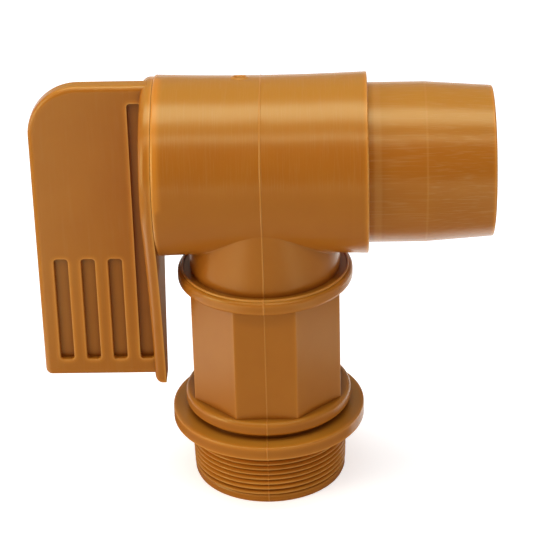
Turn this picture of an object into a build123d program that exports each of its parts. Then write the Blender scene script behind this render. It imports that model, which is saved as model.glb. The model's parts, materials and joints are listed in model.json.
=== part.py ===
from build123d import *
import os
from math import acos, atan2, cos, degrees, hypot, sin

# Drum tap for a 2 inch bung: a threaded tee body, a hollow turning plug whose open end is
# the spout, and a lever handle with a ribbed grip. Sizes are in millimetres and degrees.
# X runs along the barrel towards the spout, Z up the inlet, and the origin is the centre
# of the inlet's mouth. The model is drawn closed, with the lever pointing at the thread.

# Inlet: the threaded end, its flange and the bead above it
thread_diameter = 60.3
thread_length = 23.3
inlet_bore_diameter = 49.5
mouth_chamfer = 1.2
flange_diameter = 74.0
flange_thickness = 5.5
flange_chamfer_depth = 0.45
flange_chamfer_height = 2.1
flange_edge_radius = 0.6
bead_diameter = 63.7
bead_height = 5.5
bead_edge_radius = 1.5
groove_diameter = 57.6
groove_height = 1.9

# Stem: the octagon that a wrench holds, the cupped collar and the neck
octagon_across_flats = 55.8
octagon_height = 46.5
octagon_edge_radius = 0.5
collar_overhang = 4.7
collar_height = 5.2
collar_edge_radius = 1.5
lip_setback = 1.35
lip_height = 0.7
lip_width = 0.85
neck_inset = 5.1
neck_wall = 3.6
neck_height = 41.1
neck_fillet = 0.5

# Barrel: slightly waisted between its two ends
barrel_length = 77.4
barrel_end_wall = 3.9
barrel_waist_depth = 0.75
barrel_edge_radius = 0.5
port_diameter = 34.0
port_throat_length = 5.6
passage_roof = 5.1

# Plug: the hollow cylinder that turns in the barrel, and its spout
plug_diameter = 58.9
plug_wall = 4.3
end_wall_thickness = 3.8
spout_length = 45.8
spout_taper_length = 24.9
spout_taper_depth = 1.75
spout_edge_radius = 0.6

# Handle: a disc that becomes the lever, and the flat grip that stands out from it
disc_setback = 0.65
plate_thickness = 4.35
plate_edge_radius = 2.85
lever_reach = 89.5
lever_tip_width = 10.0
lever_side_radius = 283.0
grip_thickness = 7.6
grip_reach = 42.2
grip_foot_height = 3.1
grip_corner_radius = 19.2
grip_foot_radius = 2.5
grip_edge_radius = 2.0
recess_count = 3
recess_width = 5.25
recess_pitch = 10.24
recess_depth = 2.65
recess_foot_margin = 6.9
recess_height = 42.9
long_recess_height = 105.7
recess_corner_radius = 1.3
recess_edge_radius = 0.4

# Drive between handle and plug: a keyed boss held by two cross pins
boss_length = 12.7
boss_wall = 3.6
key_width = 5.7
key_height = 1.4
pin_diameter = 4.0
pin_length = 7.6
pin_from_disc = 6.6

# Quarter turn stop: a lug on the disc in a slot of the barrel's end
turn_angle = 90.0
lug_thickness = 1.2
lug_arc_length = 5.7
lug_length = 1.8
stop_clearance_angle = 0.5

# Seals and the ring that holds the plug in
o_ring_section = 2.6
port_seal_margin = 1.4
port_seal_width = 2.4
port_seal_thickness = 2.1
ring_width = 1.9
ring_thickness = 3.0
ring_gap_angle = 24.0
ring_from_end = 4.9
ring_bite = 1.4

# Clearances
running_clearance = 0.10
seal_clearance = 0.10
groove_clearance = 0.10
end_gap = 0.35
fit_clearance = 0.15
ring_clearance = 0.15

# Levels up the stem
flange_base = thread_length
flange_top = flange_base + flange_thickness
bead_base = flange_top + groove_height
bead_top = bead_base + bead_height
collar_base = bead_top + octagon_height
collar_top = collar_base + collar_height
axis_height = collar_top + neck_height

# Radii about the barrel's axis
plug_radius = plug_diameter / 2
plug_bore_radius = plug_radius - plug_wall
bore_radius = plug_radius + running_clearance
barrel_end_radius = bore_radius + barrel_end_wall
lug_radius = bore_radius + barrel_end_wall / 2
disc_radius = barrel_end_radius - disc_setback
boss_radius = plug_bore_radius - fit_clearance
key_radius = boss_radius + key_height

# The neck stands inside the barrel's ends, and the collar and the neck's passage follow the neck
neck_diameter = 2 * (barrel_end_radius - neck_inset)
neck_bore_radius = neck_diameter / 2 - neck_wall
collar_diameter = neck_diameter + 2 * collar_overhang
lip_diameter = collar_diameter - 2 * lip_setback
port_radius = port_diameter / 2
port_seal_inner_radius = port_radius + port_seal_margin
port_seal_outer_radius = port_seal_inner_radius + port_seal_width

# Places along the barrel. The O-rings lie midway between the port's seal and the pins.
barrel_half = barrel_length / 2
disc_face = -(barrel_half + end_gap)
grip_root = disc_face - plate_thickness
grip_edge = grip_root - grip_reach
boss_end = disc_face + boss_length
end_wall_base = boss_end + fit_clearance
end_wall_face = end_wall_base + end_wall_thickness
pin_place = disc_face + pin_from_disc
pin_edge = -pin_place - pin_diameter / 2
o_ring_place = (port_seal_outer_radius + pin_edge) / 2
ring_place = barrel_half - ring_from_end
spout_end = barrel_half + spout_length

# Radii of the seals, their grooves and the retaining ring
seal_reach = bore_radius - seal_clearance
o_ring_radius = seal_reach - o_ring_section / 2
o_ring_groove_radius = seal_reach - o_ring_section - groove_clearance
o_ring_groove_width = o_ring_section + 2 * groove_clearance
port_seal_floor = seal_reach - port_seal_thickness - groove_clearance
ring_outer_radius = bore_radius + ring_bite
ring_inner_radius = ring_outer_radius - ring_thickness
ring_groove_width = ring_width + 2 * ring_clearance

# The stem's sections are drawn beside the inlet axis, the barrel's beside its own axis
barrel_axis = Axis((0, 0, axis_height), (1, 0, 0))
barrel_plane = Plane(origin=(0, 0, axis_height), x_dir=(1, 0, 0), z_dir=(0, -1, 0))


def cross_plane(x):
    """The plane across the barrel at x, centred on its axis, with Y across and Z up."""
    return Plane(origin=(x, 0, axis_height), x_dir=(0, 1, 0), z_dir=(1, 0, 0))


def disc_section(diameter, base, top, edge_radius):
    """Half the section of a disc about the inlet axis, with a rounded rim."""
    with BuildSketch(Plane.XZ) as section:
        with Locations((0, base)):
            Rectangle(diameter / 2, top - base, align=(Align.MIN, Align.MIN))
        fillet(section.vertices().group_by(Axis.X)[-1], edge_radius)
    return section.sketch


def ring_section(place, width, inner_radius, outer_radius):
    """Draw a rectangle beside the barrel's axis, to be turned into a ring or a groove."""
    with Locations((place - width / 2, inner_radius)):
        Rectangle(width, outer_radius - inner_radius, align=(Align.MIN, Align.MIN))


def arc_band(plane, middle_radius, thickness, start_angle, end_angle):
    """A band of constant thickness between two angles about the plane's origin."""
    sweep_angle = end_angle - start_angle
    with BuildSketch(plane) as band:
        with BuildLine():
            inner = CenterArc((0, 0), middle_radius - thickness / 2, start_angle, sweep_angle)
            outer = CenterArc((0, 0), middle_radius + thickness / 2, start_angle, sweep_angle)
            Line(inner @ 0, outer @ 0)
            Line(inner @ 1, outer @ 1)
        make_face()
    return band.sketch


# Body: barrel, neck, collar, octagon, bead, flange and threaded end in one moulding
lug_half_angle = degrees(lug_arc_length / 2 / lug_radius)
stop_start_angle = 90 - lug_half_angle - stop_clearance_angle
stop_end_angle = 90 + turn_angle + lug_half_angle + stop_clearance_angle
neck_wall_top = axis_height - bore_radius - passage_roof

with BuildPart() as body:
    with BuildSketch(Plane.XZ):
        with Locations((0, collar_base)):
            Rectangle(neck_diameter / 2, axis_height - collar_base, align=(Align.MIN, Align.MIN))
    revolve(axis=Axis.Z)
    with BuildSketch(barrel_plane) as barrel_section:
        with BuildLine():
            top = ThreePointArc(
                (-barrel_half, barrel_end_radius),
                (0, barrel_end_radius - barrel_waist_depth),
                (barrel_half, barrel_end_radius),
            )
            Polyline(top @ 1, (barrel_half, 0), (-barrel_half, 0), top @ 0)
        make_face()
        fillet(barrel_section.vertices().group_by(Axis.Y)[-1], barrel_edge_radius)
    revolve(axis=barrel_axis)
    saddle_edges = body.edges().filter_by(
        lambda edge: edge.geom_type not in (GeomType.CIRCLE, GeomType.LINE)
        and abs(edge.center().X) < neck_diameter / 2
        and collar_top < edge.center().Z < axis_height - bore_radius / 4
    )
    fillet(saddle_edges, neck_fillet)

    revolve(disc_section(collar_diameter, collar_base, collar_top, collar_edge_radius), axis=Axis.Z)
    with BuildSketch(Plane.XZ) as lip_section:
        with Locations((lip_diameter / 2, collar_top)):
            Rectangle(lip_width, lip_height, align=(Align.MAX, Align.MIN))
        fillet(lip_section.vertices().group_by(Axis.Y)[-1], lip_height / 2)
    revolve(axis=Axis.Z)
    with BuildSketch(Plane.XY.offset(bead_top)):
        RegularPolygon(octagon_across_flats / 2, 8, major_radius=False, rotation=22.5)
    extrude(amount=octagon_height)
    fillet(
        body.edges().filter_by(Axis.Z).filter_by_position(Axis.Z, bead_top, collar_base),
        octagon_edge_radius,
    )
    revolve(disc_section(bead_diameter, bead_base, bead_top, bead_edge_radius), axis=Axis.Z)
    with BuildSketch(Plane.XY.offset(flange_top)):
        Circle(groove_diameter / 2)
    extrude(amount=groove_height)
    with BuildSketch(Plane.XZ) as flange_section:
        with Locations((0, flange_base)):
            Rectangle(flange_diameter / 2, flange_thickness, align=(Align.MIN, Align.MIN))
        rim = flange_section.vertices().group_by(Axis.X)[-1].sort_by(Axis.Y)
        chamfer(rim[0], flange_chamfer_height, flange_chamfer_depth)
        fillet(rim[1], flange_edge_radius)
    revolve(axis=Axis.Z)
    with BuildSketch(Plane.XZ) as thread_section:
        Rectangle(thread_diameter / 2, flange_base, align=(Align.MIN, Align.MIN))
        mouth_rim = thread_section.vertices().group_by(Axis.X)[-1].sort_by(Axis.Y)
        chamfer(mouth_rim[0], mouth_chamfer)
    revolve(axis=Axis.Z)

    # Passage from the mouth up to the narrower port under the plug
    with BuildSketch(Plane.XZ):
        with BuildLine():
            Polyline(
                (0, 0),
                (inlet_bore_diameter / 2, 0),
                (inlet_bore_diameter / 2, collar_base),
                (neck_bore_radius, collar_top),
                (neck_bore_radius, neck_wall_top - port_throat_length),
                (port_radius, neck_wall_top),
                (port_radius, axis_height),
                (0, axis_height),
                close=True,
            )
        make_face()
    revolve(axis=Axis.Z, mode=Mode.SUBTRACT)

    # Bore for the plug, with the groove that the retaining ring springs into
    with BuildSketch(barrel_plane):
        ring_section(0, barrel_length, 0, bore_radius)
        ring_section(ring_place, ring_groove_width, 0, ring_outer_radius + ring_clearance)
    revolve(axis=barrel_axis, mode=Mode.SUBTRACT)

    # Quarter ring slot for the handle's stop lug
    slot_width = lug_thickness + 2 * fit_clearance
    slot = arc_band(cross_plane(-barrel_half), lug_radius, slot_width, stop_start_angle, stop_end_angle)
    extrude(slot, amount=lug_length + fit_clearance, mode=Mode.SUBTRACT)
body.part.label = "body"

# Ring groove round the plug's blank side, and the seal that fits it
with BuildPart() as seal_groove:
    with BuildSketch(Plane.XY.offset(axis_height)):
        Circle(port_seal_outer_radius + groove_clearance)
        Circle(port_seal_inner_radius - groove_clearance, mode=Mode.SUBTRACT)
    extrude(amount=-plug_diameter)
    with BuildSketch(cross_plane(-plug_radius)):
        Circle(port_seal_floor)
    extrude(amount=plug_diameter, mode=Mode.SUBTRACT)

with BuildPart() as port_seal:
    with BuildSketch(Plane.XY.offset(axis_height)):
        Circle(port_seal_outer_radius)
        Circle(port_seal_inner_radius, mode=Mode.SUBTRACT)
    extrude(amount=-plug_diameter)
    with BuildSketch(cross_plane(-plug_radius)):
        Circle(seal_reach - port_seal_thickness)
    extrude(amount=plug_diameter, mode=Mode.SUBTRACT)
    with BuildSketch(cross_plane(-plug_radius)):
        Circle(seal_reach)
    extrude(amount=plug_diameter, mode=Mode.INTERSECT)
port_seal.part.label = "port_seal"

# Plug: closed at the handle's end, open at the spout, with a port in one side
with BuildPart() as plug:
    with BuildSketch(barrel_plane) as plug_section:
        with BuildLine():
            Polyline(
                (disc_face, 0),
                (disc_face, plug_radius),
                (spout_end - spout_taper_length, plug_radius),
                (spout_end, plug_radius - spout_taper_depth),
                (spout_end, 0),
                close=True,
            )
        make_face()
        fillet(plug_section.vertices().group_by(Axis.X)[-1].sort_by(Axis.Y)[-1], spout_edge_radius)
    revolve(axis=barrel_axis)
    with BuildSketch(barrel_plane):
        with Locations((end_wall_face, 0)):
            Rectangle(spout_end - end_wall_face, plug_bore_radius, align=(Align.MIN, Align.MIN))
        with Locations((disc_face, 0)):
            Rectangle(end_wall_base - disc_face, plug_bore_radius, align=(Align.MIN, Align.MIN))
        for place in (-o_ring_place, o_ring_place):
            ring_section(place, o_ring_groove_width, o_ring_groove_radius, plug_diameter)
        ring_section(ring_place, ring_groove_width, ring_inner_radius - ring_clearance, plug_diameter)
    revolve(axis=barrel_axis, mode=Mode.SUBTRACT)
    with BuildSketch(barrel_plane):
        Circle(port_radius)
    extrude(amount=plug_diameter, mode=Mode.SUBTRACT)
    add(seal_groove.part, mode=Mode.SUBTRACT)
    # Keyways and pin holes for the handle's boss
    with BuildSketch(cross_plane(disc_face)):
        Rectangle(key_width + 2 * fit_clearance, 2 * (key_radius + fit_clearance))
    extrude(amount=end_wall_base - disc_face, mode=Mode.SUBTRACT)
    with BuildSketch(barrel_plane):
        with Locations((pin_place, 0)):
            Circle(pin_diameter / 2 + groove_clearance)
    extrude(amount=plug_diameter, both=True, mode=Mode.SUBTRACT)
plug.part.label = "plug"

# Grip: the flat plate with four recesses a side, let half way into the lever
first_recess = grip_root - recess_width / 2
grip_base = grip_foot_height - lever_reach
recess_base = grip_base + recess_foot_margin
with BuildPart() as grip:
    with BuildSketch(barrel_plane) as grip_outline:
        with Locations((grip_edge, grip_base)):
            Rectangle(grip_reach + plate_thickness / 2, disc_radius - grip_base, align=(Align.MIN, Align.MIN))
        fillet(grip_outline.vertices().group_by(Axis.X)[0].sort_by(Axis.Y)[-1], grip_corner_radius)
        fillet(grip_outline.vertices().group_by(Axis.Y)[0].sort_by(Axis.X)[0], grip_foot_radius)
    extrude(amount=grip_thickness / 2, both=True)
    rim = grip.faces().filter_by(Axis.Y).edges().filter_by_position(Axis.X, grip_edge, grip_root, (True, False))
    fillet(rim, grip_edge_radius)
    for side in (-1, 1):
        with BuildSketch(barrel_plane.offset(side * grip_thickness / 2)):
            with Locations((first_recess, recess_base + long_recess_height / 2)):
                RectangleRounded(recess_width, long_recess_height, recess_corner_radius)
            for number in range(1, recess_count + 1):
                place = first_recess - number * recess_pitch
                with Locations((place, recess_base + recess_height / 2)):
                    RectangleRounded(recess_width, recess_height, recess_corner_radius)
        extrude(amount=-side * recess_depth, mode=Mode.SUBTRACT)
    # The recesses are closed all round, so their rims are the inner edges of the grip's sides
    grip_sides = grip.faces().filter_by(Axis.Y).group_by(SortBy.AREA)[-1]
    recess_rims = [
        edge
        for face in grip_sides
        for wire in face.inner_wires()
        for edge in wire.edges()
        if wire.bounding_box().max.X < grip_root - recess_width
    ]
    fillet(recess_rims, recess_edge_radius)

# Handle: disc and lever, the grip, the keyed boss and the stop lug. Each side of the lever is an
# arc that leaves the disc without a corner and curves inward to the tip. The angle where it leaves
# comes from the triangle between the disc's centre, the arc's centre and the tip's corner.
tip_half_width = lever_tip_width / 2
tip_distance = hypot(lever_reach, tip_half_width)
centre_distance = disc_radius + lever_side_radius
side_angle = atan2(tip_half_width, lever_reach) + acos(
    (tip_distance**2 + centre_distance**2 - lever_side_radius**2) / (2 * tip_distance * centre_distance)
)
side_start = (disc_radius * sin(side_angle), -disc_radius * cos(side_angle))
with BuildPart() as handle:
    with BuildSketch(cross_plane(disc_face)):
        with BuildLine():
            right_side = RadiusArc(side_start, (tip_half_width, -lever_reach), -lever_side_radius)
            left_side = mirror(right_side, about=Plane.YZ).edge()
            ThreePointArc(right_side @ 0, (0, disc_radius), left_side @ 0)
            Line(right_side @ 1, left_side @ 1)
        make_face()
    extrude(amount=-plate_thickness)
    fillet(handle.faces().sort_by(Axis.X)[0].edges(), plate_edge_radius)
    add(grip.part)

    with BuildSketch(cross_plane(disc_face)):
        Circle(boss_radius)
        Rectangle(key_width, 2 * key_radius)
    extrude(amount=boss_length)
    with BuildSketch(cross_plane(disc_face)):
        Circle(boss_radius - boss_wall)
    extrude(amount=boss_length, mode=Mode.SUBTRACT)
    with BuildSketch(barrel_plane):
        with Locations((pin_place, 0)):
            Circle(pin_diameter / 2 + groove_clearance)
    extrude(amount=plug_diameter, both=True, mode=Mode.SUBTRACT)
    lug_start, lug_end = 90 - lug_half_angle, 90 + lug_half_angle
    lug = arc_band(cross_plane(disc_face), lug_radius, lug_thickness, lug_start, lug_end)
    extrude(lug, amount=lug_length + end_gap - fit_clearance)
handle.part.label = "handle"

# Two pins through the plug's wall into the handle's boss
with BuildPart() as handle_pins:
    for side in (-1, 1):
        with BuildSketch(barrel_plane.offset(side * (plug_radius - fit_clearance))):
            with Locations((pin_place, 0)):
                Circle(pin_diameter / 2)
        extrude(amount=-side * pin_length)
handle_pins.part.label = "handle_pins"


def make_o_ring(place, label):
    """Make one round sealing ring at its groove in the plug."""
    with BuildPart() as ring:
        with BuildSketch(barrel_plane):
            with Locations((place, o_ring_radius)):
                Circle(o_ring_section / 2)
        revolve(axis=barrel_axis)
    ring.part.label = label
    return ring


handle_end_o_ring = make_o_ring(-o_ring_place, "handle_end_o_ring")
spout_end_o_ring = make_o_ring(o_ring_place, "spout_end_o_ring")

# Split ring that springs into the barrel's groove and holds the plug in
half_gap = ring_gap_angle / 2
ring_middle_radius = (ring_inner_radius + ring_outer_radius) / 2
ring_plane = cross_plane(ring_place - ring_width / 2)
with BuildPart() as retaining_ring:
    split_ring = arc_band(ring_plane, ring_middle_radius, ring_thickness, 90 + half_gap, 450 - half_gap)
    extrude(split_ring, amount=ring_width)
retaining_ring.part.label = "retaining_ring"

os.makedirs("parts", exist_ok=True)
pieces = (body, plug, handle, handle_pins, handle_end_o_ring, spout_end_o_ring, port_seal, retaining_ring)
for piece in pieces:
    export_step(piece.part, f"parts/{piece.part.label}.step")
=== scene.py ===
"""Looks of a moulded drum tap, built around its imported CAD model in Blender 4.5.

The tap is one tan polyethylene tee body, a hollow turning plug that ends in the spout, and a lever
handle with a ribbed grip. The body's visible mesh gets the inlet's taper thread, the moulding's
parting line and the gate's scar, which the solids leave out. Every piece gets the finish of what it
is really made of.
"""

import json
import logging
import math
from dataclasses import dataclass, field
from enum import Enum

import bmesh
import bpy
from mathutils import Matrix, Vector

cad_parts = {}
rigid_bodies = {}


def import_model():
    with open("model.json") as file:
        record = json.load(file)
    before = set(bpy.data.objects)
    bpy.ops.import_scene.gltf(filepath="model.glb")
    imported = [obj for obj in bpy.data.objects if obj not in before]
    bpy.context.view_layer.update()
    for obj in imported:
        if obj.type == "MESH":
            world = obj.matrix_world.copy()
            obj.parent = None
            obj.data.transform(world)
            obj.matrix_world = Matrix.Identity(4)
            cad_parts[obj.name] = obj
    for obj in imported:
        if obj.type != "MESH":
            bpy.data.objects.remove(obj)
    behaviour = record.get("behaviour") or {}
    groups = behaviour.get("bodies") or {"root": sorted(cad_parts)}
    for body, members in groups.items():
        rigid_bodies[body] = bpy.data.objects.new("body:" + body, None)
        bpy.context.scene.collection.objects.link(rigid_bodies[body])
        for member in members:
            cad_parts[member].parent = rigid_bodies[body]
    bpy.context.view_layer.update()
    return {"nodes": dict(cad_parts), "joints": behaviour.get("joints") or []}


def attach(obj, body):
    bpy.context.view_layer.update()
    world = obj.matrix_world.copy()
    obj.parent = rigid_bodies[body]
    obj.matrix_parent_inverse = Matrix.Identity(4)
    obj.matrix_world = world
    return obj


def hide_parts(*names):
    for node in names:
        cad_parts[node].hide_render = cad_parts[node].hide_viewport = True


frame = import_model()

MM = 0.001
CUT_DISTANCE = 1e-7  # metres: how near to a cutting plane a point counts as on it
AXIS_HEIGHT = frame["joints"][0]["pos_m"][2]
SCUFFS_BELOW_AXIS = 30.0  # mm: how far below the barrel's axis the plug's scuffs reach

log = logging.getLogger("drum_tap")


def srgb(code: str) -> tuple[float, float, float, float]:
    """Turn an sRGB hex colour into the linear colour that a shader takes.

    Args:
        code: Six hex digits after a hash.

    Returns:
        Linear red, green and blue, with an alpha of 1.
    """
    parts = (int(code[place:place + 2], 16) / 255 for place in (1, 3, 5))
    return (*(v / 12.92 if v <= 0.04045 else ((v + 0.055) / 1.055) ** 2.4 for v in parts), 1.0)


def add_node(tree: bpy.types.NodeTree, kind: str, inputs: dict | None = None, **settings) -> bpy.types.Node:
    """Add one node to a tree, set it and link it.

    Args:
        tree: The node tree.
        kind: Blender's name for the kind of node.
        inputs: Each input's name or number with its value, or with the socket that feeds it.
        **settings: The node's own settings.

    Returns:
        The new node.
    """
    node = tree.nodes.new(kind)
    for name, value in settings.items():
        setattr(node, name, value)
    for name, value in (inputs or {}).items():
        if isinstance(value, bpy.types.NodeSocket):
            tree.links.new(value, node.inputs[name])
        else:
            node.inputs[name].default_value = value
    return node


def smooth_step(value: float, low: float, high: float) -> float:
    """Rise smoothly from 0 at low to 1 at high."""
    share = min(1.0, max(0.0, (value - low) / (high - low)))
    return share * share * (3 - 2 * share)


class Rubbing(Enum):
    """Which way a piece was rubbed, as the lengths in mm of one mark along X, Y and Z."""

    ROUND_THE_BARREL = (0.4, 12.0, 12.0)
    ALONG_THE_SPOUT = (14.0, 0.55, 0.55)
    DOWN_THE_LEVER = (2.0, 2.0, 26.0)


@dataclass(frozen=True)
class MouldedPolyethylene:
    """Tan high-density polyethylene, injection moulded in a spark-finished steel tool.

    It is waxy and half glossy: a soft broad sheen over a deep warm brown, with faint clouds where
    the pigment flowed unevenly, and pale hair scratches where two pieces have rubbed. The hollows
    carry a painted shade, the thin walls a painted glow, the edges a painted highlight, and what faces
    up is painted yellower, as a brightly lit top looks. Each openness holds where a tint is full and
    where it ends, as shares of open sky, and how strong it is.
    """

    name: str = "tan_polyethylene"
    colour: str = "#B46B1D"
    deep_colour: str = "#AC6219"
    # painted shade: the dark that the hollows are tinted towards, by how little open sky they see
    crevice_shade_colour: str = "#7C3A0A"
    # painted highlight: the pale that the convex edges are tinted towards
    edge_highlight_colour: str = "#D19041"
    # painted glow: the yellow that thin walls are tinted towards, as light shining through them
    thin_glow_colour: str = "#DC8828"
    # painted light: the yellow that upward faces are tinted towards, as a brightly lit top looks
    lit_top_colour: str = "#BC7C27"
    rubbed_colour: str = "#CFA16A"
    # the pale of the parting line's flash, and of the painted highlights along rims
    flash_and_highlight_colour: str = "#CB8B45"
    sheen_colour: str = "#F8FABC"
    ior: float = 1.53  # polyethylene's own: a weak mirror from the front, a bright one at the rims
    roughness: float = 0.27  # a spark-finished tool: lamps show as soft bands with no hard edge
    crevice_shade_mm: float = 3.0
    crevice_shade_openness: tuple[float, float, float] = (0.30, 0.92, 0.85)
    thin_glow_mm: float = 2.2
    thin_glow_openness: tuple[float, float, float] = (0.50, 0.97, 0.75)
    edge_highlight_mm: float = 0.9
    edge_highlight_openness: tuple[float, float, float] = (0.60, 0.98, 0.85)
    lit_top_range: tuple[float, float] = (0.55, 0.98)  # how far up a face looks: no painted yellow, full painted yellow
    glow: float = 0.18
    glow_mm: float = 1.0
    glow_reach: tuple[float, float, float] = (1.0, 0.45, 0.15)  # red light goes furthest in
    flash_and_highlight_lines: tuple[tuple[float, float, float], ...] = ()
    cloud_mm: float = 14.0
    grain_mm: float = 0.8
    grain_strength: float = 0.06
    grain_height_mm: float = 0.06
    rubbing: Rubbing | None = None
    rubbed_share: float = 0.0
    rubbed_from_mm: float = 0.0
    rub_rise_mm: float = 6.0
    rub_marks: tuple[float, float] = (0.5, 0.8)  # the noise's level where marks start and are full

    def build(self) -> bpy.types.Material:
        """Make the material's node tree.

        Returns:
            The finished material.
        """
        material = bpy.data.materials.new(self.name)
        material.use_nodes = True
        tree = material.node_tree
        tree.nodes.clear()
        place = add_node(tree, "ShaderNodeTexCoord").outputs["Object"]
        clouds = add_node(tree, "ShaderNodeTexNoise", {
            "Vector": place, "Scale": 1 / (self.cloud_mm * MM), "Detail": 3.0, "Roughness": 0.55,
        })
        tint = add_node(tree, "ShaderNodeMix", {
            "Factor": clouds.outputs["Fac"], 6: srgb(self.colour), 7: srgb(self.deep_colour),
        }, data_type="RGBA").outputs[2]
        # painted light: upward faces tinted yellower, as a brightly lit top looks
        tint = self.fade(tree, tint)
        if self.rubbing:
            tint = self.rub(tree, place, tint)
        # pale lines: the parting line's flash, and painted highlights along rims
        for line in self.flash_and_highlight_lines:
            tint = self.draw_line(tree, place, tint, line)
        # painted shade in the hollows
        tint = self.paint_light_and_shade(tree, tint, self.crevice_shade_mm, self.crevice_shade_openness, self.crevice_shade_colour)
        # painted glow in the thin walls
        tint = self.paint_light_and_shade(tree, tint, self.thin_glow_mm, self.thin_glow_openness, self.thin_glow_colour, inside=True)
        # painted highlight on the edges
        tint = self.paint_light_and_shade(tree, tint, self.edge_highlight_mm, self.edge_highlight_openness, self.edge_highlight_colour, inside=True)
        grain = add_node(tree, "ShaderNodeTexNoise", {
            "Vector": place, "Scale": 1 / (self.grain_mm * MM), "Detail": 2.0,
        })
        bump = add_node(tree, "ShaderNodeBump", {
            "Strength": self.grain_strength, "Distance": self.grain_height_mm * MM,
            "Height": grain.outputs["Fac"],
        })
        shader = add_node(tree, "ShaderNodeBsdfPrincipled", {
            "Base Color": tint, "IOR": self.ior, "Roughness": self.roughness,
            "Specular Tint": srgb(self.sheen_colour), "Normal": bump.outputs["Normal"],
            "Subsurface Weight": self.glow, "Subsurface Scale": self.glow_mm * MM,
            "Subsurface Radius": self.glow_reach,
        })
        add_node(tree, "ShaderNodeOutputMaterial", {"Surface": shader.outputs["BSDF"]})
        return material

    # painted light: fade paints the upward faces yellower, standing for light from above
    def fade(self, tree: bpy.types.NodeTree, tint: bpy.types.NodeSocket) -> bpy.types.NodeSocket:
        """Paint what faces up a little yellower: painted light, as a brightly lit top looks.

        Args:
            tree: The material's node tree.
            tint: The colour before the painted lit top.

        Returns:
            The colour with the painted lit top.
        """
        none, full = self.lit_top_range
        facing = add_node(tree, "ShaderNodeTexCoord").outputs["Normal"]
        upward = add_node(tree, "ShaderNodeSeparateXYZ", {"Vector": facing})
        share = add_node(tree, "ShaderNodeMapRange", {
            "Value": upward.outputs["Z"], "From Min": none, "From Max": full,
        })
        return add_node(tree, "ShaderNodeMix", {
            "Factor": share.outputs["Result"], 6: tint, 7: srgb(self.lit_top_colour),
        }, data_type="RGBA").outputs[2]

    def paint_light_and_shade(self, tree: bpy.types.NodeTree, tint: bpy.types.NodeSocket, reach_mm: float,
                    openness: tuple[float, float, float], colour: str,
                    inside: bool = False) -> bpy.types.NodeSocket:
        """Paint shade into the hollows, where less light gets in; called with inside, paint a glow into
        thin walls and a highlight onto edges.

        Args:
            tree: The material's node tree.
            tint: The colour of the plain surface.
            reach_mm: How far from a hollow or an edge the tint reaches.
            openness: Where the tint is full, where it ends and how strong it is.
            colour: The tint, as six hex digits after a hash.
            inside: Whether to look into the plastic, which finds thin walls and edges.

        Returns:
            The tinted colour.
        """
        full, none, strength = openness
        sky = add_node(tree, "ShaderNodeAmbientOcclusion", {"Distance": reach_mm * MM},
                       samples=8, inside=inside, only_local=True)
        share = add_node(tree, "ShaderNodeMapRange", {
            "Value": sky.outputs["AO"], "From Min": full, "From Max": none,
            "To Min": strength, "To Max": 0.0,
        })
        return add_node(tree, "ShaderNodeMix", {
            "Factor": share.outputs["Result"], 6: tint, 7: srgb(colour),
        }, data_type="RGBA").outputs[2]

    def draw_line(self, tree: bpy.types.NodeTree, place: bpy.types.NodeSocket,
                  tint: bpy.types.NodeSocket, line: tuple[float, float, float]) -> bpy.types.NodeSocket:
        """Pale one thin line round the piece; the parting line's flash and the painted highlights along the
        rims are drawn so.

        Args:
            tree: The material's node tree.
            place: The place on the piece, in metres.
            tint: The colour beside the line.
            line: Its place along X and its half width, in mm, and how pale it is, from 0 to 1.

        Returns:
            The colour with the line.
        """
        middle, half_width, paleness = line
        axes = add_node(tree, "ShaderNodeSeparateXYZ", {"Vector": place})
        offset = add_node(tree, "ShaderNodeMath", {
            0: axes.outputs["X"], 1: middle * MM,
        }, operation="SUBTRACT")
        away = add_node(tree, "ShaderNodeMath", {0: offset.outputs[0]}, operation="ABSOLUTE")
        share = add_node(tree, "ShaderNodeMapRange", {
            "Value": away.outputs[0], "From Min": half_width * MM, "From Max": 2 * half_width * MM,
            "To Min": paleness, "To Max": 0.0,
        })
        return add_node(tree, "ShaderNodeMix", {
            "Factor": share.outputs["Result"], 6: tint, 7: srgb(self.flash_and_highlight_colour),
        }, data_type="RGBA").outputs[2]

    def rub(self, tree: bpy.types.NodeTree, place: bpy.types.NodeSocket,
            tint: bpy.types.NodeSocket) -> bpy.types.NodeSocket:
        """Lay pale hair scratches over the colour, above the level where the rubbing starts.

        Args:
            tree: The material's node tree.
            place: The place on the piece, in metres.
            tint: The colour under the scratches.

        Returns:
            The scratched colour.
        """
        stretched = add_node(tree, "ShaderNodeMapping", {
            "Vector": place, "Scale": tuple(1 / (length * MM) for length in self.rubbing.value),
        })
        marks = add_node(tree, "ShaderNodeTexNoise", {
            "Vector": stretched.outputs["Vector"], "Scale": 1.0, "Detail": 2.0, "Roughness": 0.6,
        })
        none, full = self.rub_marks
        strength = add_node(tree, "ShaderNodeMapRange", {
            "Value": marks.outputs["Fac"], "From Min": none, "From Max": full, "To Max": self.rubbed_share,
        })
        height = add_node(tree, "ShaderNodeSeparateXYZ", {"Vector": place})
        above = add_node(tree, "ShaderNodeMapRange", {
            "Value": height.outputs["Z"], "From Min": self.rubbed_from_mm * MM,
            "From Max": (self.rubbed_from_mm + self.rub_rise_mm) * MM,
        })
        share = add_node(tree, "ShaderNodeMath", {
            0: strength.outputs["Result"], 1: above.outputs["Result"],
        }, operation="MULTIPLY")
        return add_node(tree, "ShaderNodeMix", {
            "Factor": share.outputs[0], 6: tint, 7: srgb(self.rubbed_colour),
        }, data_type="RGBA").outputs[2]


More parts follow.
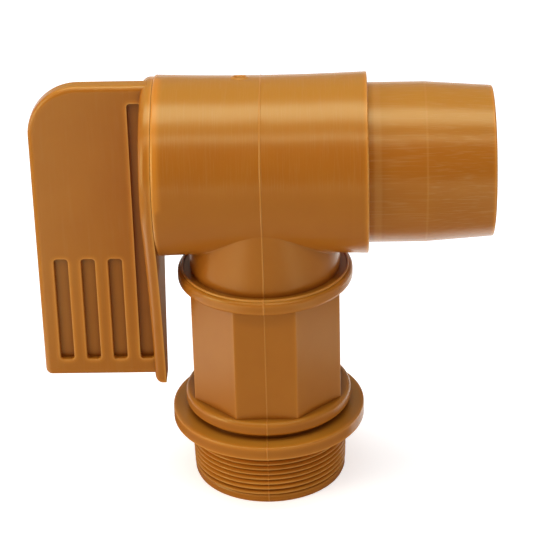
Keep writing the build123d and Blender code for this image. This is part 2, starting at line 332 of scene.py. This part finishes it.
@dataclass(frozen=True)
class PlainFinish:
    """A hidden working piece's finish: its colour, gloss and a fine moulded grain.

    A low roughness gives the eye a smooth slippery skin, as acetal has, and a high one the dull
    black of seal rubber.
    """

    name: str
    colour: str
    deep_colour: str
    ior: float
    roughness: float
    grain_mm: float = 0.5

    def build(self) -> bpy.types.Material:
        """Make the material's node tree.

        Returns:
            The finished material.
        """
        material = bpy.data.materials.new(self.name)
        material.use_nodes = True
        tree = material.node_tree
        tree.nodes.clear()
        place = add_node(tree, "ShaderNodeTexCoord").outputs["Object"]
        grain = add_node(tree, "ShaderNodeTexNoise", {
            "Vector": place, "Scale": 1 / (self.grain_mm * MM), "Detail": 2.0,
        })
        tint = add_node(tree, "ShaderNodeMix", {
            "Factor": grain.outputs["Fac"], 6: srgb(self.colour), 7: srgb(self.deep_colour),
        }, data_type="RGBA")
        shader = add_node(tree, "ShaderNodeBsdfPrincipled", {
            "Base Color": tint.outputs[2], "IOR": self.ior, "Roughness": self.roughness,
        })
        add_node(tree, "ShaderNodeOutputMaterial", {"Surface": shader.outputs["BSDF"]})
        return material


@dataclass
class InletThread:
    """The 2 inch taper pipe thread, cut as real geometry into the body's visible mesh.

    Lengths are in mm. The crests reach the solid's outer radius under the flange and narrow towards
    the mouth, where a plain pilot band leads them into the bung.
    """

    outer_radius: float = 30.15
    length: float = 23.3
    mouth_radius: float = 28.95
    mouth_chamfer: float = 1.2
    pitch: float = 2.209
    depth: float = 1.45
    radius_taper: float = 1 / 32
    front_crest_level: float = 4.0
    pilot_radius: float = 29.35
    pilot_level: float = 2.7
    crest_flat: float = 0.14
    root_flat: float = 0.12
    fade: float = 1.0
    steps_round: int = 240
    steps_per_pitch: int = 14
    tolerance: float = 0.03

    def radius(self, angle: float, level: float) -> float:
        """Work out how far the thread's surface stands from the inlet's axis.

        Args:
            angle: The angle about the axis, in radians.
            level: The height above the mouth, in mm.

        Returns:
            The radius, in mm.
        """
        crest = self.outer_radius - (self.length - level) * self.radius_taper
        turns = (angle + math.pi / 2) / math.tau
        phase = (level - self.front_crest_level) / self.pitch - turns
        from_crest = 2 * abs(phase - round(phase))
        groove = smooth_step(from_crest, self.crest_flat, 1 - self.root_flat)
        starts = smooth_step(level, self.pilot_level, self.pilot_level + self.fade)
        ends = 1 - smooth_step(level, self.length - 2 * self.fade, self.length - self.fade)
        pilot = self.pilot_radius - (self.pilot_radius - self.mouth_radius) * (
            1 - smooth_step(level, 0, self.mouth_chamfer))
        threaded = crest - self.depth * groove * ends
        return pilot + (threaded - pilot) * starts

    def is_wall(self, face: bmesh.types.BMFace) -> bool:
        """Tell whether a face belongs to the plain wall or chamfer that the thread stands for.

        Args:
            face: A face of the body's welded mesh.

        Returns:
            True for a face that the thread replaces.
        """
        edge_level = self.length * MM + self.tolerance * MM
        rims = [(math.hypot(v.co.x, v.co.y) / MM, v.co.z / MM) for v in face.verts]
        on_wall = all(abs(r - self.outer_radius) < self.tolerance or r >= self.mouth_radius - self.tolerance
                      and z < self.mouth_chamfer + self.tolerance and r < self.outer_radius + self.tolerance
                      for r, z in rims)
        reaches_up = any(z > self.tolerance for _, z in rims)
        return on_wall and reaches_up and all(v.co.z < edge_level for v in face.verts)

    def cut(self, shell: bmesh.types.BMesh) -> None:
        """Swap the plain wall of the threaded end for the thread.

        Args:
            shell: The body's welded mesh, in metres.
        """
        wall = [face for face in shell.faces if self.is_wall(face)]
        bmesh.ops.delete(shell, geom=wall, context="FACES")
        open_edges = [edge for edge in shell.edges if edge.is_boundary]
        levels = [self.length * step / self.steps_high for step in range(1, self.steps_high)]
        rings = [[shell.verts.new(self.point(math.tau * step / self.steps_round, level))
                  for step in range(self.steps_round)] for level in levels]
        for low, high in zip(rings, rings[1:]):
            for step in range(self.steps_round):
                after = (step + 1) % self.steps_round
                shell.faces.new((low[step], low[after], high[after], high[step]))
        middle = self.length * MM / 2
        for ring, is_low in ((rings[0], True), (rings[-1], False)):
            rim = [edge for edge in open_edges if (edge.verts[0].co.z < middle) == is_low]
            ends = [shell.edges.get((ring[step], ring[(step + 1) % self.steps_round])) or
                    shell.edges.new((ring[step], ring[(step + 1) % self.steps_round]))
                    for step in range(self.steps_round)]
            bmesh.ops.bridge_loops(shell, edges=rim + ends)
        log.info("inlet thread: %d wall faces became %d rings", len(wall), len(rings))

    @property
    def steps_high(self) -> int:
        """How many rows of faces stand between the mouth and the flange."""
        return round(self.length / self.pitch * self.steps_per_pitch)

    def point(self, angle: float, level: float) -> Vector:
        """A point of the thread's surface, in metres."""
        radius = self.radius(angle, level)
        return Vector((radius * math.cos(angle), radius * math.sin(angle), level)) * MM


@dataclass
class PartingLine:
    """The thin raised line that the mould's two halves leave round the body. Lengths are in mm."""

    half_width: float = 0.16
    foot: float = 0.34
    height: float = 0.12
    bore_reach: float = 30.2
    passage_radius: float = 26.0
    tolerance: float = 0.02
    mouth_margin: float = 0.3

    def raise_on(self, shell: bmesh.types.BMesh) -> None:
        """Split the shell on both sides of the mould's joint and lift the strip between.

        Args:
            shell: The body's mesh, in metres.
        """
        for side in (-self.foot, -self.half_width, self.half_width, self.foot):
            bmesh.ops.bisect_plane(shell, geom=shell.verts[:] + shell.edges[:] + shell.faces[:],
                                   plane_co=(side * MM, 0, 0), plane_no=(1, 0, 0), dist=CUT_DISTANCE)
        shell.normal_update()
        strip = [(vertex, vertex.normal.copy()) for vertex in shell.verts if self.is_outside(vertex.co)]
        for vertex, outward in strip:
            vertex.co += outward * self.height * MM
        log.info("parting line: %d points lifted", len(strip))

    def is_outside(self, place: Vector) -> bool:
        """Tell whether a point lies on the strip, and on the outside of the body.

        Args:
            place: A point of the body's mesh, in metres.

        Returns:
            True for a point that is to be lifted.
        """
        on_strip = abs(place.x) < (self.half_width + self.tolerance) * MM
        clear_of_bore = math.hypot(place.y, place.z - AXIS_HEIGHT) > self.bore_reach * MM
        clear_of_passage = (math.hypot(place.x, place.y) > self.passage_radius * MM
                            or place.z > AXIS_HEIGHT)
        return on_strip and clear_of_bore and clear_of_passage and place.z > self.mouth_margin * MM


@dataclass
class GateScar:
    """The shallow ring on the barrel's top where the plastic was let into the mould.

    Lengths are in mm. The top level is the height above the barrel's axis at which its top starts.
    """

    place: tuple[float, float] = (-7.6, 5.0)
    radius: float = 2.6
    rim_width: float = 0.9
    rim_height: float = 0.45
    depth: float = 0.35
    steps: int = 24
    near_share: float = 1.3
    top_level: float = 31.5

    def press_into(self, shell: bmesh.types.BMesh) -> None:
        """Raise the ring's rim and sink its middle, after splitting the top finely.

        Args:
            shell: The body's mesh, in metres.
        """
        reach = (self.radius + self.rim_width) * MM
        middle = Vector((self.place[0] * MM, self.place[1] * MM, 0))
        near = [face for face in shell.faces if self.is_near(face, middle, self.near_share * reach)]
        parts = near + list({e for f in near for e in f.edges}) + list({v for f in near for v in f.verts})
        for axis in (Vector((1, 0, 0)), Vector((0, 1, 0))):
            for step in range(self.steps + 1):
                cut = bmesh.ops.bisect_plane(shell, geom=parts, dist=CUT_DISTANCE, plane_no=axis,
                                             plane_co=middle + axis * reach * (2 * step / self.steps - 1))
                parts = cut["geom"]
        for vertex in (part for part in parts if isinstance(part, bmesh.types.BMVert)):
            away = math.hypot(vertex.co.x - middle.x, vertex.co.y - middle.y) / MM
            from_rim = abs(away - self.radius) / self.rim_width
            lift = self.rim_height * (1 - smooth_step(from_rim, 0, 1))
            sink = self.depth * (1 - smooth_step(away, self.radius - self.rim_width, self.radius))
            vertex.co.z += (lift - sink) * MM
        log.info("gate scar: the barrel's top is split into %d parts", len(parts))

    def is_near(self, face: bmesh.types.BMFace, middle: Vector, reach: float) -> bool:
        """Tell whether a face of the barrel's top comes within reach of the scar.

        Args:
            face: A face of the body's mesh.
            middle: The scar's middle, in metres.
            reach: How far from the middle counts, in metres.

        Returns:
            True for a face that is to be split.
        """
        xs, ys, zs = ([corner.co[axis] for corner in face.verts] for axis in range(3))
        return (min(zs) > AXIS_HEIGHT + self.top_level * MM
                and min(xs) < middle.x + reach and max(xs) > middle.x - reach
                and min(ys) < middle.y + reach and max(ys) > middle.y - reach)


@dataclass
class MouldedBody:
    """The tee body's visible mesh: the CAD body with its thread, its gate scar and its parting line.

    The end face is the barrel's, towards the handle, as a place along X in mm.
    """

    finish: MouldedPolyethylene
    thread: InletThread = field(default_factory=InletThread)
    line: PartingLine = field(default_factory=PartingLine)
    scar: GateScar = field(default_factory=GateScar)
    weld_mm: float = 0.002
    end_face: float = -38.7
    end_tolerance: float = 0.02
    thrust_lip: float = 0.2
    crease_deg: float = 30.0

    def build(self) -> bpy.types.Object:
        """Make the mesh and dress it.

        Returns:
            The body's visible object, riding on its CAD body.
        """
        source = frame["nodes"]["body"]
        mesh = source.data.copy()
        mesh.transform(source.matrix_world)
        mesh.name = "moulded_body"
        if "custom_normal" in mesh.attributes:
            mesh.attributes.remove(mesh.attributes["custom_normal"])
        shell = bmesh.new()
        shell.from_mesh(mesh)
        bmesh.ops.remove_doubles(shell, verts=shell.verts, dist=self.weld_mm * MM)
        self.thread.cut(shell)
        self.raise_thrust_lip(shell)
        self.scar.press_into(shell)
        self.line.raise_on(shell)
        bmesh.ops.recalc_face_normals(shell, faces=shell.faces)
        shell.to_mesh(mesh)
        shell.free()
        mesh.shade_smooth()
        mesh.set_sharp_from_angle(angle=math.radians(self.crease_deg))
        mesh.materials.clear()
        mesh.materials.append(self.finish.build())
        body = bpy.data.objects.new("moulded_body", mesh)
        bpy.context.scene.collection.objects.link(body)
        weighted = body.modifiers.new("even_shading", "WEIGHTED_NORMAL")
        weighted.keep_sharp = True
        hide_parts("body")
        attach(body, "tap_body")
        log.info("moulded_body: %d faces", len(mesh.polygons))
        return body

    def raise_thrust_lip(self, shell: bmesh.types.BMesh) -> None:
        """Lift the barrel's end face towards the handle's disc, which bears on it.

        Args:
            shell: The body's mesh, in metres.
        """
        for vertex in shell.verts:
            if vertex.co.x < (self.end_face + self.end_tolerance) * MM:
                vertex.co.x -= self.thrust_lip * MM


@dataclass
class CarriedPieces:
    """The CAD nodes that are shown as they are, each with its finish and its material slot."""

    finishes: dict[str, tuple[str, MouldedPolyethylene | PlainFinish]]

    def build(self) -> None:
        """Dress every node."""
        for name, (slot, finish) in self.finishes.items():
            node = frame["nodes"][name]
            node.data.materials.clear()
            node.data.materials.append(finish.build())
            log.info("%s is dressed in %s", name, finish.name)


@dataclass
class StudioCamera:
    """The photograph's camera, found from the tap's outline.

    The picture is taken to be square. The crossing of the barrel's axis and the inlet's axis is the
    point that the camera is placed by.
    """

    picture_px: int = 533
    crossing_px: tuple[float, float] = (262.25, 163.74)
    metres_per_px: float = 0.0003686
    elevation_deg: float = 26.90
    turn_deg: float = -1.75
    roll_deg: float = -1.59
    focal_px: float = 2188.3
    sensor_mm: float = 36.0

    def build(self) -> bpy.types.Object:
        """Place the camera and make it the scene's own.

        Returns:
            The camera object.
        """
        lean = math.radians(self.elevation_deg)
        look = Matrix(((1, 0, 0),
                       (0, -math.sin(lean), -math.cos(lean)),
                       (0, math.cos(lean), -math.sin(lean))))
        turn = Matrix.Rotation(math.radians(self.turn_deg), 3, "Z")
        rows = Matrix.Rotation(math.radians(self.roll_deg), 3, "Z") @ look @ turn
        middle = self.picture_px / 2
        offset = Vector((self.crossing_px[0] - middle, self.crossing_px[1] - middle, self.focal_px))
        spot = Vector((0, 0, AXIS_HEIGHT)) - rows.transposed() @ offset * self.metres_per_px
        data = bpy.data.cameras.new("studio_camera")
        data.sensor_width = self.sensor_mm
        data.lens = self.sensor_mm * self.focal_px / self.picture_px
        camera = bpy.data.objects.new("studio_camera", data)
        axes = Matrix((rows[0], -rows[1], -rows[2])).transposed()
        camera.matrix_world = Matrix.Translation(spot) @ axes.to_4x4()
        bpy.context.scene.collection.objects.link(camera)
        bpy.context.scene.camera = camera
        return camera


@dataclass(frozen=True)
class SoftBox:
    """One rectangular lamp: where it hangs, how large it is, how bright and of what colour."""

    name: str
    place: tuple[float, float, float]
    size: tuple[float, float]
    watts: float
    colour: str = "#FFFFFF"
    target: tuple[float, float, float] = (0.0, 0.0, AXIS_HEIGHT)

    def build(self) -> bpy.types.Object:
        """Hang the lamp so that it faces its target.

        Returns:
            The lamp.
        """
        data = bpy.data.lights.new(self.name, "AREA")
        data.shape = "RECTANGLE"
        data.size, data.size_y = self.size
        data.energy = self.watts
        data.color = srgb(self.colour)[:3]
        lamp = bpy.data.objects.new(self.name, data)
        lamp.location = self.place
        lamp.rotation_euler = (Vector(self.target) - Vector(self.place)).to_track_quat("-Z", "Y").to_euler()
        bpy.context.scene.collection.objects.link(lamp)
        return lamp


def hang_card(name: str, points: list, faces: list, colour: str) -> bpy.types.Object:
    """Hang a matt card in the studio that only reflections see.

    Args:
        name: The card's name.
        points: Its corners, in metres.
        faces: The corners of each of its faces.
        colour: Its colour, as six hex digits after a hash.

    Returns:
        The card, marked as a part of the stage.
    """
    mesh = bpy.data.meshes.new(name)
    mesh.from_pydata(points, [], faces)
    card = bpy.data.objects.new(name, mesh)
    bpy.context.scene.collection.objects.link(card)
    material = bpy.data.materials.new(name)
    material.use_nodes = True
    tree = material.node_tree
    tree.nodes.clear()
    shader = add_node(tree, "ShaderNodeBsdfDiffuse", {"Color": srgb(colour)})
    add_node(tree, "ShaderNodeOutputMaterial", {"Surface": shader.outputs["BSDF"]})
    mesh.materials.append(material)
    card.visible_camera = False
    card.visible_diffuse = False
    card.visible_transmission = False
    card.visible_shadow = False
    return card


@dataclass(frozen=True)
class Curtain:
    """A curved cloth round a side of the studio, which only reflections see.

    The dark one keeps the white room out of the plastic's sheen, so that the front stays deep and
    the soft boxes show as bands. The pale one dims the room behind the tap. Angles are in degrees,
    azimuth 0 towards the camera and 90 to the right.
    """

    name: str
    colour: str
    azimuths: tuple[float, float]
    elevations: tuple[float, float]
    radius: float = 2.6
    step_deg: float = 6.0

    def build(self) -> bpy.types.Object:
        """Hang the cloth.

        Returns:
            The cloth, marked as a part of the stage.
        """
        columns = round((self.azimuths[1] - self.azimuths[0]) / self.step_deg)
        rows = round((self.elevations[1] - self.elevations[0]) / self.step_deg)
        points, faces = [], []
        for row in range(rows + 1):
            rise = math.radians(self.elevations[0] + row * self.step_deg)
            for column in range(columns + 1):
                side = math.radians(self.azimuths[0] + column * self.step_deg)
                points.append((self.radius * math.cos(rise) * math.sin(side),
                               -self.radius * math.cos(rise) * math.cos(side),
                               AXIS_HEIGHT + self.radius * math.sin(rise)))
        for row in range(rows):
            for column in range(columns):
                corner = row * (columns + 1) + column
                faces.append((corner, corner + 1, corner + columns + 2, corner + columns + 1))
        return hang_card(self.name, points, faces, self.colour)


@dataclass(frozen=True)
class FloorCard:
    """A card laid on the floor, just above the paper, which only reflections see."""

    name: str
    colour: str
    across: tuple[float, float]
    along: tuple[float, float]
    level_mm: float = 0.2

    def build(self) -> bpy.types.Object:
        """Lay the card.

        Returns:
            The card, marked as a part of the stage.
        """
        (left, right), (front, back), level = self.across, self.along, self.level_mm * MM
        corners = [(left, front, level), (right, front, level), (right, back, level), (left, back, level)]
        return hang_card(self.name, corners, [(0, 1, 2, 3)], self.colour)


@dataclass
class Studio:
    """White paper under four soft boxes: overhead, a narrow one in front, at the left and at the right.

    Curtains and floor cards stand where the real room showed in the plastic's sheen. The floor's
    lift brings the paper up to the white of the background, for the camera and reflections alone.
    """

    paper_colour: str = "#F7F7F7"
    floor_size: float = 4.0
    floor_gap_mm: float = 0.05
    floor_lift: float = 0.55
    floor_cards: tuple[FloorCard, ...] = (
        FloorCard("grey_floor_card", "#A0A0A0", (-0.10, 0.12), (-0.75, 0.0)),
        FloorCard("brown_floor_card", "#7E6246", (-0.10, 0.02), (0.0, 0.40)),
        FloorCard("left_floor_card", "#D8C490", (-0.60, -0.19), (-0.35, 0.40)),
        FloorCard("right_floor_card", "#8C8478", (0.165, 0.50), (-0.35, 0.40)),
    )
    fill: float = 0.30
    curtains: tuple[Curtain, ...] = (
        Curtain("dark_curtain", "#1C1712", (-62.0, 118.0), (-4.0, 74.0)),
        Curtain("pale_curtain", "#DCDCDC", (118.0, 298.0), (4.0, 74.0)),
    )
    lamps: tuple[SoftBox, ...] = (
        SoftBox("overhead_box", (0.0, 0.04, 1.25), (1.5, 0.50), 8.9),
        SoftBox("front_strip", (0.0, -0.66, 1.12), (1.7, 0.06), 3.3),
        SoftBox("left_box", (-1.20, -0.50, 0.45), (0.7, 0.9), 7.1, "#FFFAD8"),
        SoftBox("right_box", (1.35, -0.35, 0.40), (0.5, 0.8), 1.1),
    )

    def build(self) -> None:
        """Make the floor, the cards, the curtains, the world and the lamps."""
        half, level = self.floor_size / 2, -self.floor_gap_mm * MM
        mesh = bpy.data.meshes.new("studio_floor")
        corners = [(-half, -half, level), (half, -half, level), (half, half, level), (-half, half, level)]
        mesh.from_pydata(corners, [], [(0, 1, 2, 3)])
        floor = bpy.data.objects.new("studio_floor", mesh)
        bpy.context.scene.collection.objects.link(floor)
        mesh.materials.append(self.paint_floor())
        for card in self.floor_cards:
            card.build()
        for curtain in self.curtains:
            curtain.build()
        self.paint_world()
        for lamp in self.lamps:
            lamp.build()

    def paint_floor(self) -> bpy.types.Material:
        """Make the floor's matt white paper, which is white to the camera apart from the shadow.

        Returns:
            The paper's material.
        """
        material = bpy.data.materials.new("white_paper")
        material.use_nodes = True
        tree = material.node_tree
        tree.nodes.clear()
        shader = add_node(tree, "ShaderNodeBsdfDiffuse", {"Color": srgb(self.paper_colour)})
        lift = add_node(tree, "ShaderNodeMath", {
            0: self.seen_rays(tree), 1: self.floor_lift,
        }, operation="MULTIPLY")
        glow = add_node(tree, "ShaderNodeEmission", {"Color": (1, 1, 1, 1), "Strength": lift.outputs[0]})
        both = add_node(tree, "ShaderNodeAddShader", {
            0: shader.outputs["BSDF"], 1: glow.outputs["Emission"],
        })
        add_node(tree, "ShaderNodeOutputMaterial", {"Surface": both.outputs["Shader"]})
        return material

    def seen_rays(self, tree: bpy.types.NodeTree) -> bpy.types.NodeSocket:
        """Tell the rays that show the background from the rays that light the tap.

        Args:
            tree: The node tree of the floor or the world.

        Returns:
            1 for what the camera sees, straight, mirrored or through a piece, and 0 for light.
        """
        rays = add_node(tree, "ShaderNodeLightPath")
        shown = add_node(tree, "ShaderNodeMath", {
            0: rays.outputs["Is Camera Ray"], 1: rays.outputs["Is Glossy Ray"],
        }, operation="MAXIMUM")
        seen = add_node(tree, "ShaderNodeMath", {
            0: shown.outputs[0], 1: rays.outputs["Is Transmission Ray"],
        }, operation="MAXIMUM")
        return seen.outputs[0]

    def paint_world(self) -> None:
        """Give the world an even soft light, and white where the camera or a reflection sees it."""
        world = bpy.data.worlds.new("studio_world")
        bpy.context.scene.world = world
        world.use_nodes = True
        tree = world.node_tree
        tree.nodes.clear()
        strength = add_node(tree, "ShaderNodeMix", {"Factor": self.seen_rays(tree), 2: self.fill, 3: 1.0})
        light = add_node(tree, "ShaderNodeBackground", {
            "Color": (1, 1, 1, 1), "Strength": strength.outputs[0],
        })
        add_node(tree, "ShaderNodeOutputWorld", {"Surface": light.outputs["Background"]})


def main() -> None:
    """Build every part of the picture and report each piece."""
    logging.basicConfig(level=logging.INFO, format="%(name)s: %(message)s")
    StudioCamera().build()
    Studio().build()
    axis_level = AXIS_HEIGHT / MM
    plastic = "tan_polyethylene"
    MouldedBody(MouldedPolyethylene(
        "body_polyethylene", rubbing=Rubbing.ROUND_THE_BARREL, rubbed_share=0.14, rubbed_from_mm=axis_level,
        # the parting line's flash at X=0, and painted highlights on the barrel's end rims at -38.5 and 38.5
        # mm
        flash_and_highlight_lines=((0.0, 0.12, 0.35), (-38.5, 0.3, 0.6), (38.5, 0.3, 0.6)),
    )).build()
    acetal = PlainFinish("white_acetal", "#E2DFD4", "#D6D2C6", ior=1.48, roughness=0.35)
    rubber = PlainFinish("seal_rubber", "#17171A", "#0F0F11", ior=1.52, roughness=0.62)
    CarriedPieces({
        "plug": (plastic, MouldedPolyethylene(
            "plug_polyethylene", rubbing=Rubbing.ALONG_THE_SPOUT, rubbed_share=0.28,
            rubbed_from_mm=axis_level - SCUFFS_BELOW_AXIS,
            flash_and_highlight_lines=((84.1, 0.3, 0.5), (59.6, 0.25, 0.25), (41.9, 0.9, 0.30)),
        )),
        "handle": (plastic, MouldedPolyethylene(
            "handle_polyethylene", rubbing=Rubbing.DOWN_THE_LEVER, rubbed_share=0.05,
        )),
        "handle_pins": ("white_acetal", acetal),
        "retaining_ring": ("white_acetal", acetal),
        "handle_end_o_ring": ("seal_rubber", rubber),
        "spout_end_o_ring": ("seal_rubber", rubber),
        "port_seal": ("seal_rubber", rubber),
    }).build()
    bpy.context.scene.view_settings.view_transform = "Standard"


if __name__ == "__main__":
    main()
